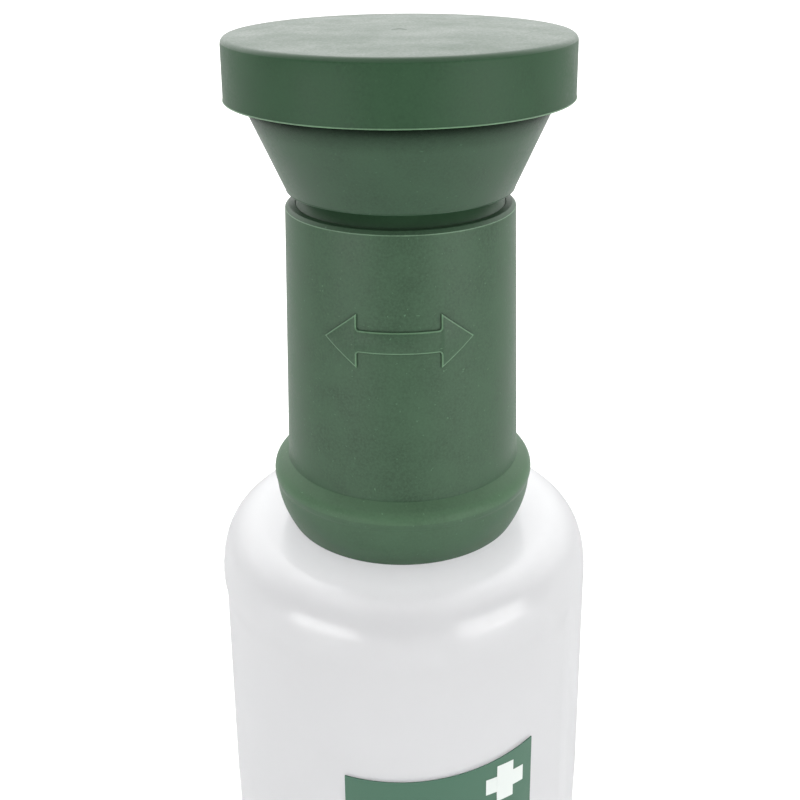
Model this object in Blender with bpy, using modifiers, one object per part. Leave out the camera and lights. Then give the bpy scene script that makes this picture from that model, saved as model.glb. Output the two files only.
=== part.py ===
"""Eye wash bottle: a squeeze bottle of rinsing liquid with a turning head, an eye cup and a dust cap.

Metres, +Z up. The origin is the middle of the foot, and the front is -Y.
Azimuth is counted from the front, positive towards +X.
"""
from math import cos, pi, radians, sin, tan

import bmesh
import bpy
from mathutils import Matrix, Vector

# Clearances and counts
FIT_GAP = 0.0003
CUT_OVERRUN = 0.002
SEGMENTS = 48
SMALL_SEGMENTS = 32
RING_STEPS = 6
ROUND_STEPS = 2
SMALL_ROUND = 0.0007
BEND_STEPS = 5
ROUND_LIMIT_SHARE = 0.45

# Bottle: body, shoulder, foot and label recess
BODY_RADIUS = 0.0370
BODY_HEIGHT = 0.1362
DRAW_IN = 0.0010
DRAW_LENGTH = 0.045
SHOULDER_DEPTH = 0.0144
SHOULDER_BEND = 0.0090
SHOULDER_SQUARENESS = 2.75
BOTTLE_WALL = 0.0010
BASE_ROUND = 0.0060
FOOT_WIDTH = 0.0055
PUSH_UP = 0.0032
PUSH_SLOPE = 0.0040
RECESS_DEPTH = 0.0005
RECESS_FOOT = 0.0140
RECESS_RISE = 0.0020
RECESS_FIRST_STEP = -14
RECESS_STEPS = 22

# Bottle: neck and its snap bead
NECK_RADIUS = 0.0150
NECK_HEIGHT = 0.0215
NECK_WALL = 0.0014
NECK_FILLET = 0.0015
LIP_ROUND = 0.0004
BEAD_LEVEL = 0.0085
BEAD_HEIGHT = 0.0030
BEAD_DEPTH = 0.0015

# Rinsing liquid
FILL_DROP = 0.0062

# Label panel, a printed film in the recess
LABEL_THICKNESS = 0.00025
LABEL_FOOT = 0.0200
LABEL_DROP = 0.0210
LABEL_RISE = 0.0026
LABEL_SAG = 0.0012
LABEL_LEFT = radians(-18.0)
LABEL_RIGHT = radians(40.5)
LABEL_COLUMNS = 9

# Plug insert in the mouth and its twist-off plug
INSERT_FLANGE = 0.0012
INSERT_WALL = 0.0012
INSERT_FLOOR = 0.0014
INSERT_DEPTH = 0.0080
PORT_STEP = 0.0002
BLADE_THICKNESS = 0.0016
BLADE_HEIGHT = 0.0045

# Gasket and snap-on coupling
GASKET_THICKNESS = 0.0012
GASKET_WIDTH = 0.0030
COUPLING_PLATE = 0.0018
COUPLING_WALL = 0.0014
COUPLING_LIP = 0.0016
HUB_WALL = 0.0014
HUB_HEIGHT = 0.0050

# Turning sleeve and its collar
SLEEVE_LENGTH = 0.0613
SLEEVE_WALL = 0.0018
SLEEVE_ROOM = 0.0018
SLEEVE_DRAFT = 0.0017
SLEEVE_RIM_ROUND = 0.0006
COLLAR_CREASE = 0.0131
COLLAR_CROWN = 0.0028
COLLAR_OVERHANG = 0.0028
COLLAR_FILLET = 0.0012
COLLAR_TUCK = 0.00285
COLLAR_BOW = 0.0006
BEAD_ACROSS = 0.0018
BEAD_RISE = 0.0019
BEAD_START = radians(30)
BEAD_STOP = radians(125)

# Raised double-headed arrow on the sleeve
ARROW_LEVEL = 0.0426
ARROW_HALF_LENGTH = 0.0124
ARROW_HEAD_LENGTH = 0.0051
ARROW_HEAD_HALF_WIDTH = 0.0045
ARROW_SHAFT_HALF_WIDTH = 0.0019
ARROW_RISE = 0.0005
ARROW_TURN = radians(-1.8)

# Feed tube and its O-ring
TUBE_RADIUS = 0.0060
TUBE_WALL = 0.0016
TUBE_STANDOFF = 0.0005
RING_SECTION = 0.0009

# Eye cup and spray rose
GROOVE_WIDTH = 0.0025
CONE_STEP = 0.00025
CONE_SPREAD = 0.0071
CONE_HEIGHT = 0.0165
CUP_RIM_HEIGHT = 0.0054
CUP_WALL = 0.0018
CUP_FLOOR = 0.0022
CUP_FOOT_ROUND = 0.0004
BOWL_ROUND = 0.0060
SPIGOT_DEPTH = 0.0080
SPIGOT_WALL = 0.0016
SPIGOT_WAIST = 0.0016
SPIGOT_GUIDE = 0.0040
CUP_HUB_WALL = 0.0014
ROSE_THICKNESS = 0.0012
ROSE_SEAT = 0.0020
ROSE_STEM = 0.0030
ROSE_WALL = 0.0010
ROSE_HOLE_RADIUS = 0.0006
ROSE_HOLE_CIRCLE = 0.0019
ROSE_OUTER_HOLES = 6
ROSE_HOLE_SIDES = 6

# Dust cap and its liner
LINER_THICKNESS = 0.0010
CAP_ROOF = 0.0018
CAP_WALL = 0.00225
CAP_DRAFT = 0.0003
CAP_SKIRT = 0.0100
CAP_DOME = 0.0004
DOME_SHARES = (0, 1 / 3, 2 / 3)
CAP_EDGE_ROUND = 0.0010
CAP_FOOT_ROUND = 0.0004
CAP_RING_DEPTH = 0.0030
CAP_RING_WALL = 0.0012

# Levels and radii that follow from the sizes above, from the foot up
shoulder_radius = BODY_RADIUS - DRAW_IN
shoulder_top = BODY_HEIGHT + SHOULDER_DEPTH
neck_top = shoulder_top + NECK_HEIGHT
neck_bore = NECK_RADIUS - NECK_WALL
bead_foot = shoulder_top + BEAD_LEVEL
bead_radius = NECK_RADIUS + BEAD_DEPTH
fill_level = BODY_HEIGHT - FILL_DROP

tube_bore = TUBE_RADIUS - TUBE_WALL
tube_hole = TUBE_RADIUS + FIT_GAP

insert_seat = neck_top + FIT_GAP
insert_foot = insert_seat - INSERT_DEPTH
insert_floor = insert_foot + INSERT_FLOOR
port_radius = tube_bore - PORT_STEP
gasket_seat = insert_seat + INSERT_FLANGE + FIT_GAP

plate_foot = gasket_seat + GASKET_THICKNESS + FIT_GAP
plate_top = plate_foot + COUPLING_PLATE
coupling_bore = bead_radius + FIT_GAP
coupling_radius = coupling_bore + COUPLING_WALL
lip_top = bead_foot - FIT_GAP

sleeve_foot = shoulder_top + FIT_GAP
sleeve_top = sleeve_foot + SLEEVE_LENGTH
crease_level = sleeve_foot + COLLAR_CREASE
crease_radius = coupling_radius + SLEEVE_ROOM + SLEEVE_WALL
sleeve_top_radius = crease_radius - SLEEVE_DRAFT
collar_radius = crease_radius + COLLAR_OVERHANG
collar_level = crease_level - COLLAR_CROWN
collar_foot_radius = collar_radius - COLLAR_TUCK

cone_foot = sleeve_top + GROOVE_WIDTH
cone_foot_radius = sleeve_top_radius - CONE_STEP
cone_top = cone_foot + CONE_HEIGHT
cup_radius = cone_foot_radius + CONE_SPREAD
cup_bore = cup_radius - CUP_WALL
cup_rim = cone_top + CUP_RIM_HEIGHT
cup_floor = cone_foot + CUP_FLOOR
spigot_radius = sleeve_top_radius - SLEEVE_WALL - FIT_GAP
spigot_foot = sleeve_top - SPIGOT_DEPTH
spigot_waist = spigot_radius - SPIGOT_WAIST
guide_top = spigot_foot + SPIGOT_GUIDE
ring_circle = tube_hole + RING_SECTION
ring_pocket = ring_circle + RING_SECTION + FIT_GAP
ring_level = spigot_foot + RING_SECTION + FIT_GAP
cup_hub_radius = ring_pocket + CUP_HUB_WALL
rose_radius = tube_hole + ROSE_SEAT
rose_seat = cup_floor - ROSE_THICKNESS

liner_seat = cup_rim + FIT_GAP
cap_ceiling = liner_seat + LINER_THICKNESS + FIT_GAP
cap_bore = cup_radius + FIT_GAP
cap_radius = cap_bore + CAP_WALL
cap_top = cap_ceiling + CAP_ROOF
cap_foot = cap_top - CAP_SKIRT
cap_ring_radius = cup_bore - FIT_GAP


def empty_scene():
    for obj in list(bpy.data.objects):
        bpy.data.objects.remove(obj, do_unlink=True)


def new_collection(name):
    group = bpy.data.collections.new(name)
    bpy.context.scene.collection.children.link(group)
    return group


def plastic(name, colour, roughness, alpha=1.0):
    """A Principled material for one piece; colour is linear red, green and blue."""
    material = bpy.data.materials.new(name)
    material.use_nodes = True
    shader = material.node_tree.nodes["Principled BSDF"]
    shader.inputs["Base Color"].default_value = (*colour, 1.0)
    shader.inputs["Roughness"].default_value = roughness
    shader.inputs["Metallic"].default_value = 0.0
    shader.inputs["Alpha"].default_value = alpha
    material.diffuse_color = (*colour, alpha)
    return material


def add(name, mesh, seat=0.0, material=None, group=None):
    """A new object whose origin is on the bottle's axis, at the height of its seat."""
    obj = bpy.data.objects.new(name, mesh)
    obj.location.z = seat
    if material:
        mesh.materials.append(material)
    (group or parts).objects.link(obj)
    return obj


def as_cutter(obj):
    obj.hide_render = True
    obj.display_type = "WIRE"
    return obj


def rounded(corners):
    """Outline points of the corners (radius, height, round), each corner turned with its own round."""
    points = []
    for i, (r, z, size) in enumerate(corners):
        here = Vector((r, z))
        if size == 0:
            points.append(here)
            continue
        back = Vector(corners[i - 1][:2]) - here
        ahead = Vector(corners[(i + 1) % len(corners)][:2]) - here
        room = ROUND_LIMIT_SHARE * min(back.length, ahead.length)
        half = back.angle(ahead) / 2
        size = min(size, room * tan(half))
        middle = here + (back.normalized() + ahead.normalized()).normalized() * (size / sin(half))
        first = (here + back.normalized() * (size / tan(half)) - middle).normalized()
        last = (here + ahead.normalized() * (size / tan(half)) - middle).normalized()
        steps = ROUND_STEPS if size > SMALL_ROUND else 1
        points += [middle + first.slerp(last, k / steps) * size for k in range(steps + 1)]
    return points


def sharp(points):
    """Corners without a round, for points that a formula gives."""
    return [(r, z, 0) for r, z in points]


def bend(r, z, across, down, squareness=2.0):
    """Points of a round shoulder, from (r - across, z) out and down to (r, z - down)."""
    turns = [pi / 2 * k / BEND_STEPS for k in range(BEND_STEPS + 1)]
    power = 2 / squareness
    return [(r - across + across * sin(t) ** power, z - down + down * cos(t) ** power) for t in turns]


def bead(r, z, across, rise, start, stop):
    """Points of a bead that is widest at (r, z), between two turns counted from its top."""
    turns = [start + (stop - start) * k / BEND_STEPS for k in range(BEND_STEPS + 1)]
    return [(r - across + across * sin(t), z + rise * cos(t)) for t in turns]


def bowed(start, stop, bow):
    """Points between two ends of a line that bulges outward by bow at its middle."""
    steps = [k / BEND_STEPS for k in range(1, BEND_STEPS)]
    line = [(start[0] + (stop[0] - start[0]) * t, start[1] + (stop[1] - start[1]) * t, t) for t in steps]
    return [(r + 4 * bow * t * (1 - t), z) for r, z, t in line]


def turned(name, corners, seat, material, segments=SEGMENTS, group=None):
    """A solid turned about the bottle's axis.

    The corners run up the inner side and down the outer side. They start and end on the axis,
    or the outline closes on itself and leaves a bore.
    """
    points = rounded(corners)
    edges = [(i, i + 1) for i in range(len(points) - 1)]
    if corners[0][0] > 0:
        edges.append((len(points) - 1, 0))
    outline = bpy.data.meshes.new(name)
    outline.from_pydata([(r, 0, z - seat) for r, z in points], edges, [])
    obj = add(name, outline, seat, None, group)
    screw = obj.modifiers.new("turn", "SCREW")
    screw.steps = segments
    screw.render_steps = segments
    screw.use_merge_vertices = True
    screw.merge_threshold = 0.00001
    graph = bpy.context.evaluated_depsgraph_get()
    mesh = bpy.data.meshes.new_from_object(obj.evaluated_get(graph))
    obj.modifiers.clear()
    obj.data = mesh
    mesh.name = name
    bpy.data.meshes.remove(outline)
    if material:
        mesh.materials.append(material)
    mesh.shade_smooth()
    mesh.set_sharp_from_angle(angle=radians(35))
    return obj


def combine(obj, other, operation):
    """Cuts, joins or meets obj with a hidden solid."""
    as_cutter(other)
    step = obj.modifiers.new(other.name, "BOOLEAN")
    step.operation = operation
    step.object = other
    step.solver = "EXACT"


def box(name, low, high):
    """A box between two corners, kept with the cutters."""
    mesh = bpy.data.meshes.new(name)
    bm = bmesh.new()
    size = Vector(high) - Vector(low)
    place = Matrix.Translation((Vector(low) + Vector(high)) / 2) @ Matrix.Diagonal((*size, 1))
    bmesh.ops.create_cube(bm, size=1.0, matrix=place)
    bm.to_mesh(mesh)
    bm.free()
    return add(name, mesh, group=cutters)


def wall_radius(z):
    """Outer radius of the bottle's wall at height z: straight, then drawn in towards the shoulder."""
    rise = (z - (BODY_HEIGHT - DRAW_LENGTH)) / DRAW_LENGTH
    return BODY_RADIUS - DRAW_IN * min(max(rise, 0), 1)


def wall_patch(name, turns, heights, offset, thickness, columns, edge=(0, 0), material=None, group=None):
    """A curved plate on the bottle's wall, between two azimuths and two heights.

    Its upper edge climbs by edge[0] towards +X and sags by edge[1] at its middle.
    """
    rise, sag = edge
    mesh = bpy.data.meshes.new(name)
    bm = bmesh.new()
    bmesh.ops.create_grid(bm, x_segments=columns, y_segments=BEND_STEPS, size=1.0)
    for vert in bm.verts:
        across, up, _ = vert.co
        turn = sum(turns) / 2 + across * (turns[1] - turns[0]) / 2
        top = heights[1] + rise * across / 2 - sag * (1 - across * across)
        z = heights[0] + (top - heights[0]) * (up + 1) / 2
        r = wall_radius(z) + offset
        vert.co = (r * sin(turn), -r * cos(turn), z)
    bmesh.ops.recalc_face_normals(bm, faces=bm.faces)
    if bm.faces[0].normal.dot(bm.faces[0].calc_center_median().xyz * Vector((1, 1, 0))) < 0:
        bmesh.ops.reverse_faces(bm, faces=bm.faces)
    bm.to_mesh(mesh)
    bm.free()
    mesh.shade_smooth()
    obj = add(name, mesh, 0.0, material, group)
    shell = obj.modifiers.new("thickness", "SOLIDIFY")
    shell.thickness = thickness
    shell.offset = 1.0
    return obj


def foot_corners(radius, level, push_up, corner):
    """Corners of the bottle's foot, from the wall in to the axis: foot ring, slope and push-up."""
    foot_outer = BODY_RADIUS - BASE_ROUND
    foot_inner = foot_outer - FOOT_WIDTH
    return [
        (radius, level, corner),
        (foot_inner, level, LIP_ROUND),
        (foot_inner - PUSH_SLOPE, push_up, NECK_FILLET),
        (0, push_up, 0),
    ]


def body_wall(inset):
    """Corners down the bottle's shoulder and wall, moved inward by inset."""
    shoulder = bend(shoulder_radius - inset, shoulder_top - inset, SHOULDER_BEND, SHOULDER_DEPTH, SHOULDER_SQUARENESS)
    return sharp(shoulder) + [(BODY_RADIUS - inset, BODY_HEIGHT - DRAW_LENGTH, 0)]


def make_bottle():
    outer = [
        (NECK_RADIUS, neck_top, LIP_ROUND),
        (NECK_RADIUS, bead_foot + BEAD_HEIGHT, 0),
        (bead_radius, bead_foot + BEAD_HEIGHT - BEAD_DEPTH, 0),
        (bead_radius, bead_foot, 0),
        (NECK_RADIUS, bead_foot, 0),
        (NECK_RADIUS, shoulder_top, NECK_FILLET),
    ]
    outer += body_wall(0) + foot_corners(BODY_RADIUS, 0, PUSH_UP, BASE_ROUND)
    inner = foot_corners(
        BODY_RADIUS - BOTTLE_WALL, BOTTLE_WALL, PUSH_UP + BOTTLE_WALL, BASE_ROUND - BOTTLE_WALL
    )[::-1]
    inner += body_wall(BOTTLE_WALL)[::-1]
    inner += [(neck_bore, shoulder_top - BOTTLE_WALL, NECK_FILLET), (neck_bore, neck_top, LIP_ROUND)]
    look = plastic("milky_bottle", (0.72, 0.74, 0.76), 0.35, 0.85)
    bottle = turned("bottle_body", inner + outer, 0.0, look)
    step = 2 * pi / SEGMENTS
    turns = (RECESS_FIRST_STEP * step, (RECESS_FIRST_STEP + RECESS_STEPS) * step)
    heights = (RECESS_FOOT, BODY_HEIGHT + RECESS_RISE)
    recess = wall_patch("recess_cutter", turns, heights, -RECESS_DEPTH, CUT_OVERRUN, RECESS_STEPS, group=cutters)
    combine(bottle, recess, "DIFFERENCE")


def make_saline():
    inset = BOTTLE_WALL + FIT_GAP
    corners = [(0, fill_level, 0), (wall_radius(fill_level) - inset, fill_level, 0)]
    corners += [(BODY_RADIUS - inset, BODY_HEIGHT - DRAW_LENGTH, 0)]
    corners += foot_corners(BODY_RADIUS - inset, inset, PUSH_UP + inset, BASE_ROUND - BOTTLE_WALL)
    turned("saline_fill", corners, inset, plastic("saline", (0.80, 0.86, 0.90), 0.05, 0.25), SEGMENTS // 2)


def make_label():
    look = plastic("label_green", (0.045, 0.19, 0.085), 0.45)
    heights = (LABEL_FOOT, BODY_HEIGHT - LABEL_DROP)
    offset = FIT_GAP - RECESS_DEPTH
    turns = (LABEL_LEFT, LABEL_RIGHT)
    edge = (LABEL_RISE, LABEL_SAG)
    wall_patch("label_panel", turns, heights, offset, LABEL_THICKNESS, LABEL_COLUMNS, edge, look)


def make_neck_insert():
    radius = neck_bore - FIT_GAP
    corners = [
        (port_radius, insert_foot, 0),
        (port_radius, insert_floor, 0),
        (radius - INSERT_WALL, insert_floor, LIP_ROUND),
        (radius - INSERT_WALL, insert_seat + INSERT_FLANGE, 0),
        (NECK_RADIUS, insert_seat + INSERT_FLANGE, 0),
        (NECK_RADIUS, insert_seat, 0),
        (radius, insert_seat, 0),
        (radius, insert_foot, LIP_ROUND),
    ]
    turned("neck_insert", corners, insert_seat, plastic("insert_white", (0.75, 0.76, 0.74), 0.4), SMALL_SEGMENTS)


def make_break_plug():
    radius = port_radius - FIT_GAP
    blade_foot = insert_floor + FIT_GAP
    half = BLADE_THICKNESS / 2
    stopper = [
        (0, blade_foot + FIT_GAP, 0),
        (radius, blade_foot + FIT_GAP, 0),
        (radius, insert_foot, LIP_ROUND),
        (0, insert_foot, 0),
    ]
    look = plastic("plug_white", (0.78, 0.79, 0.77), 0.4)
    plug = turned("break_plug", stopper, insert_foot, look, SMALL_SEGMENTS)
    blade = box("blade", (-TUBE_RADIUS, -half, blade_foot), (TUBE_RADIUS, half, blade_foot + BLADE_HEIGHT))
    combine(plug, blade, "UNION")


def make_neck_gasket():
    top = gasket_seat + GASKET_THICKNESS
    corners = [
        (NECK_RADIUS - GASKET_WIDTH, gasket_seat, 0),
        (NECK_RADIUS - GASKET_WIDTH, top, 0),
        (NECK_RADIUS, top, 0),
        (NECK_RADIUS, gasket_seat, 0),
    ]
    turned("neck_gasket", corners, gasket_seat, plastic("gasket_grey", (0.25, 0.26, 0.27), 0.8), SMALL_SEGMENTS)


def sleeve_radius(z):
    """Outer radius of the sleeve's straight, drafted wall at height z."""
    return crease_radius - SLEEVE_DRAFT * (z - crease_level) / (sleeve_top - crease_level)


def make_neck_coupling():
    flange = sleeve_radius(plate_top) - SLEEVE_WALL - FIT_GAP
    hub_top = plate_top + HUB_HEIGHT
    lip_bore = NECK_RADIUS + FIT_GAP
    corners = [
        (lip_bore, lip_top - COUPLING_LIP, 0),
        (lip_bore, lip_top, 0),
        (coupling_bore, lip_top, 0),
        (coupling_bore, plate_foot, 0),
        (tube_hole, plate_foot, 0),
        (tube_hole, hub_top, 0),
        (tube_hole + HUB_WALL, hub_top, 0),
        (tube_hole + HUB_WALL, plate_top, 0),
        (flange, plate_top, 0),
        (flange, plate_foot, 0),
        (coupling_radius, plate_foot, 0),
        (coupling_radius, lip_top - COUPLING_LIP, LIP_ROUND),
    ]
    look = plastic("coupling_green", (0.055, 0.13, 0.075), 0.5)
    turned("neck_coupling", corners, plate_foot, look, SMALL_SEGMENTS)


def make_feed_tube():
    foot = insert_floor + TUBE_STANDOFF
    corners = [
        (tube_bore, foot, 0),
        (tube_bore, rose_seat, 0),
        (TUBE_RADIUS, rose_seat, 0),
        (TUBE_RADIUS, foot, 0),
    ]
    tube = turned("feed_tube", corners, foot, plastic("tube_white", (0.7, 0.71, 0.7), 0.4), SMALL_SEGMENTS)
    half = BLADE_THICKNESS / 2 + FIT_GAP
    reach = TUBE_RADIUS + CUT_OVERRUN
    slot_top = insert_floor + 2 * FIT_GAP + BLADE_HEIGHT
    combine(tube, box("slot_cutter", (-reach, -half, foot - CUT_OVERRUN), (reach, half, slot_top)), "DIFFERENCE")


def make_tube_ring():
    bpy.ops.mesh.primitive_torus_add(
        major_segments=SMALL_SEGMENTS, minor_segments=RING_STEPS, major_radius=ring_circle, minor_radius=RING_SECTION
    )
    torus = bpy.context.object
    ring = add("tube_ring", torus.data, ring_level, plastic("ring_black", (0.03, 0.03, 0.03), 0.7))
    bpy.data.objects.remove(torus)
    ring.data.shade_smooth()


def arrow_prism(level):
    """A prism with the outline of the double-headed arrow, from the axis out through the sleeve's front."""
    neck = ARROW_HALF_LENGTH - ARROW_HEAD_LENGTH
    head = ARROW_HEAD_HALF_WIDTH
    shaft = ARROW_SHAFT_HALF_WIDTH
    below = [(ARROW_HALF_LENGTH, 0), (neck, -head), (neck, -shaft), (-neck, -shaft), (-neck, -head)]
    outline = below + [(-x, -z) for x, z in below]
    curve = bpy.data.curves.new("arrow_outline", "CURVE")
    curve.dimensions = "2D"
    curve.fill_mode = "BOTH"
    curve.extrude = crease_radius / 2 + CUT_OVERRUN
    spline = curve.splines.new("POLY")
    spline.points.add(len(outline) - 1)
    spline.use_cyclic_u = True
    for point, (x, z) in zip(spline.points, outline):
        point.co = (x, z, curve.extrude, 1)
    flat = add("arrow_outline", curve, group=cutters)
    graph = bpy.context.evaluated_depsgraph_get()
    mesh = bpy.data.meshes.new_from_object(flat.evaluated_get(graph))
    bpy.data.objects.remove(flat)
    bm = bmesh.new()
    bm.from_mesh(mesh)
    bmesh.ops.remove_doubles(bm, verts=bm.verts, dist=FIT_GAP / 10)
    bmesh.ops.recalc_face_normals(bm, faces=bm.faces)
    bm.to_mesh(mesh)
    bm.free()
    prism = add("arrow_prism", mesh, level, group=cutters)
    prism.rotation_euler = (pi / 2, 0, ARROW_TURN)
    return prism


def make_arrow():
    """The raised arrow: a thin band of the sleeve's wall, kept only inside the arrow's outline."""
    level = sleeve_foot + ARROW_LEVEL
    top = level + ARROW_HEAD_HALF_WIDTH + CUT_OVERRUN
    low = level - ARROW_HEAD_HALF_WIDTH - CUT_OVERRUN
    depth = SLEEVE_WALL / 2
    corners = [
        (sleeve_radius(low) - depth, low, 0),
        (sleeve_radius(top) - depth, top, 0),
        (sleeve_radius(top) + ARROW_RISE, top, 0),
        (sleeve_radius(low) + ARROW_RISE, low, 0),
    ]
    band = turned("arrow_band", corners, level, None, group=cutters)
    combine(band, arrow_prism(level), "INTERSECT")
    return band


def make_turning_sleeve():
    wall = SLEEVE_WALL
    crown = bead(collar_radius, collar_level, BEAD_ACROSS, BEAD_RISE, BEAD_START, BEAD_STOP)
    band = bowed(crown[-1], (collar_foot_radius, sleeve_foot), COLLAR_BOW)
    outer = [(sleeve_top_radius, sleeve_top, SLEEVE_RIM_ROUND), (crease_radius, crease_level, COLLAR_FILLET)]
    outer += sharp(crown + band)
    outer += [(collar_foot_radius, sleeve_foot, LIP_ROUND)]
    inner = [
        (collar_foot_radius - wall, sleeve_foot, 0),
        (collar_radius - wall, collar_level, NECK_FILLET),
        (crease_radius - wall, crease_level, 0),
        (sleeve_top_radius - wall, sleeve_top, 0),
    ]
    look = plastic("sleeve_green", (0.070, 0.150, 0.090), 0.5)
    sleeve = turned("turning_sleeve", inner + outer, sleeve_foot, look)
    combine(sleeve, make_arrow(), "UNION")


def make_eye_cup():
    slope = CONE_SPREAD / CONE_HEIGHT
    wall = CUP_WALL
    bowl_foot = cone_foot_radius + slope * CUP_FLOOR - wall
    rose_pocket = rose_radius + FIT_GAP
    corners = [
        (ring_pocket, spigot_foot, 0),
        (ring_pocket, ring_level + RING_SECTION + FIT_GAP, 0),
        (tube_hole, ring_level + RING_SECTION + FIT_GAP, 0),
        (tube_hole, rose_seat, 0),
        (rose_pocket, rose_seat, 0),
        (rose_pocket, cup_floor, 0),
        (bowl_foot, cup_floor, BOWL_ROUND),
        (cup_bore, cone_top, BOWL_ROUND),
        (cup_bore, cup_rim, LIP_ROUND),
        (cup_radius, cup_rim, LIP_ROUND),
        (cup_radius, cone_top, BOWL_ROUND),
        (cone_foot_radius, cone_foot, CUP_FOOT_ROUND),
        (spigot_waist, cone_foot, 0),
        (spigot_waist, guide_top, 0),
        (spigot_radius, guide_top, 0),
        (spigot_radius, spigot_foot, 0),
        (spigot_waist - SPIGOT_WALL, spigot_foot, 0),
        (spigot_waist - SPIGOT_WALL, cone_foot, 0),
        (cup_hub_radius, cone_foot, 0),
        (cup_hub_radius, spigot_foot, 0),
    ]
    turned("eye_cup", corners, cone_foot, plastic("cup_green", (0.065, 0.145, 0.085), 0.5))


def make_spray_rose():
    foot = rose_seat + FIT_GAP
    stem = tube_bore - FIT_GAP
    top = foot + ROSE_THICKNESS
    corners = [
        (0, top, 0),
        (rose_radius, top, LIP_ROUND),
        (rose_radius, foot, 0),
        (stem, foot, 0),
        (stem, foot - ROSE_STEM, 0),
        (stem - ROSE_WALL, foot - ROSE_STEM, 0),
        (stem - ROSE_WALL, foot, 0),
        (0, foot, 0),
    ]
    rose = turned("spray_rose", corners, foot, plastic("rose_white", (0.75, 0.76, 0.74), 0.4), SMALL_SEGMENTS)
    mesh = bpy.data.meshes.new("jet_cutters")
    bm = bmesh.new()
    depth = ROSE_THICKNESS + 2 * CUT_OVERRUN
    places = [Vector((0, 0, 0))]
    for k in range(ROSE_OUTER_HOLES):
        turn = 2 * pi * k / ROSE_OUTER_HOLES
        places.append(Vector((cos(turn), sin(turn), 0)) * ROSE_HOLE_CIRCLE)
    for place in places:
        bmesh.ops.create_cone(
            bm, cap_ends=True, segments=ROSE_HOLE_SIDES, radius1=ROSE_HOLE_RADIUS, radius2=ROSE_HOLE_RADIUS, depth=depth,
            matrix=Matrix.Translation(place),
        )
    bm.to_mesh(mesh)
    bm.free()
    combine(rose, add("jet_cutters", mesh, foot + ROSE_THICKNESS / 2, group=cutters), "DIFFERENCE")


def make_cap_liner():
    inner = cap_ring_radius + FIT_GAP
    outer = cap_bore - FIT_GAP
    top = liner_seat + LINER_THICKNESS
    corners = [(inner, liner_seat, 0), (inner, top, 0), (outer, top, 0), (outer, liner_seat, 0)]
    turned("cap_liner", corners, liner_seat, plastic("liner_white", (0.7, 0.7, 0.68), 0.8))


def make_dust_cap():
    top_radius = cap_radius - CAP_DRAFT
    ring_foot = cap_ceiling - CAP_RING_DEPTH
    inner = [
        (0, cap_ceiling, 0),
        (cap_ring_radius - CAP_RING_WALL, cap_ceiling, 0),
        (cap_ring_radius - CAP_RING_WALL, ring_foot, 0),
        (cap_ring_radius, ring_foot, 0),
        (cap_ring_radius, cap_ceiling, 0),
        (cap_bore, cap_ceiling, 0),
        (cap_bore, cap_foot, 0),
    ][::-1]
    dome = [(top_radius * share, cap_top + CAP_DOME * (1 - share * share)) for share in DOME_SHARES]
    outer = sharp(dome) + [(top_radius, cap_top, CAP_EDGE_ROUND), (cap_radius, cap_foot, CAP_FOOT_ROUND)]
    turned("dust_cap", outer + inner, cap_foot, plastic("cap_green", (0.060, 0.130, 0.080), 0.45))


def hang_on(axis_name, level, names, carrier=None):
    """An empty on a joint's axis that carries the pieces moving with it."""
    axis = bpy.data.objects.new(axis_name, None)
    axis.empty_display_size = NECK_RADIUS
    axis.location.z = level
    parts.objects.link(axis)
    if carrier:
        axis.parent = carrier
        axis.location.z = level - carrier.location.z
    bpy.context.view_layer.update()
    for name in names:
        piece = bpy.data.objects[name]
        piece.parent = axis
        piece.matrix_parent_inverse = axis.matrix_world.inverted()
    return axis


empty_scene()
parts = new_collection("eye_wash_bottle")
cutters = new_collection("cutters")

make_bottle()
make_saline()
make_label()
make_neck_insert()
make_break_plug()
make_neck_gasket()
make_neck_coupling()
make_feed_tube()
make_tube_ring()
make_turning_sleeve()
make_eye_cup()
make_spray_rose()
make_cap_liner()
make_dust_cap()

head_pieces = ["break_plug", "neck_coupling", "feed_tube", "tube_ring", "turning_sleeve", "eye_cup", "spray_rose"]
head_axis = hang_on("head_turn", neck_top, head_pieces)
hang_on("cap_lift", cup_rim, ["dust_cap", "cap_liner"], head_axis)
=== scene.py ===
"""Looks of the eye wash bottle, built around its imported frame.

Metres, +Z up. The origin is the middle of the foot, and the front is -Y.
Azimuth is counted from the front, positive towards +X.
"""
from math import atan2, cos, hypot, pi, radians, sin, tan

import bmesh
import bpy
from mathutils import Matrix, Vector


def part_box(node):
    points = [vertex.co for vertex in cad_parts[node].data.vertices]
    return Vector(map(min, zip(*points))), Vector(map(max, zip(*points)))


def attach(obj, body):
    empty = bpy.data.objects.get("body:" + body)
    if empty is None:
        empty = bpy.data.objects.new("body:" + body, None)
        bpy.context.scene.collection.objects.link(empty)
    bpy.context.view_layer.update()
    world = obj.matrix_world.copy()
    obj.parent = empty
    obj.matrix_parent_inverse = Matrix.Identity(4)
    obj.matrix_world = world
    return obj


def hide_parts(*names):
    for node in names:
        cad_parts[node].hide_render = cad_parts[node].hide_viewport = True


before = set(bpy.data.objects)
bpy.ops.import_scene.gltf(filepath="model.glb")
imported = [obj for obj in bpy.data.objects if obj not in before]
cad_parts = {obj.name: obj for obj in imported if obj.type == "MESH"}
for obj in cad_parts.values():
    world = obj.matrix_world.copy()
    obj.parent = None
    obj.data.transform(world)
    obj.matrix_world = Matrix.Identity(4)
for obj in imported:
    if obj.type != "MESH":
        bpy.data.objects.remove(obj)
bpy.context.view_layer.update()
BOX = {name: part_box(name) for name in sorted(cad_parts)}

# Camera
CAMERA_PLACE = (-0.00044, -0.19097, 0.26261)
CAMERA_PITCH = radians(25.0)
CAMERA_ROLL = radians(-0.573)
CAMERA_LENS = 50.2
CAMERA_SENSOR = 36.0
CAMERA_NEAR = 0.01

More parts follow.
